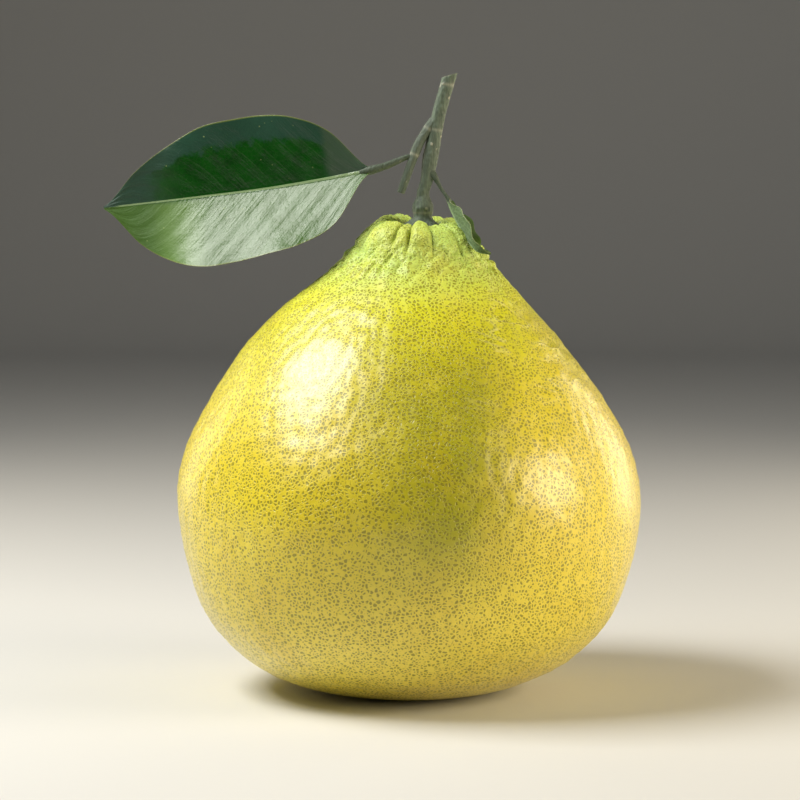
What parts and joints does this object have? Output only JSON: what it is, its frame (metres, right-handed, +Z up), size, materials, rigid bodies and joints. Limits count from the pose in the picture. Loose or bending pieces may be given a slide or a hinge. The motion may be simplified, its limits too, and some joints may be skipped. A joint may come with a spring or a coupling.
{
  "type": "pomelo",
  "caption": "Pear-shaped citrus fruit with a knobbly collar, standing on a small flat spot, with its calyx, a short cut stem, a side twig, a broad leaf and a small folded leaf.",
  "frame": {"origin": "middle of the flat spot under the fruit, on the surface that it rests on", "axes": "+Z up from the flat spot to the stem, -Y towards the front, which shows the large leaf on the -X side and the small leaf on the +X side"},
  "size_m": [0.1868, 0.1598, 0.2135],
  "materials": {
    "peel": "satin",
    "calyx": "matte",
    "bark": "matte",
    "twig_bark": "matte",
    "petiole": "satin",
    "large_leaf": "gloss",
    "small_petiole": "satin",
    "small_leaf": "satin"
  },
  "bodies": {
    "root": {"fruit": "peel", "calyx": "calyx", "stem": "bark", "side_twig": "twig_bark", "large_leaf_petiole": "petiole", "large_leaf_blade": "large_leaf", "small_leaf_petiole": "small_petiole", "small_leaf_blade": "small_leaf"}
  },
  "joints": []
}
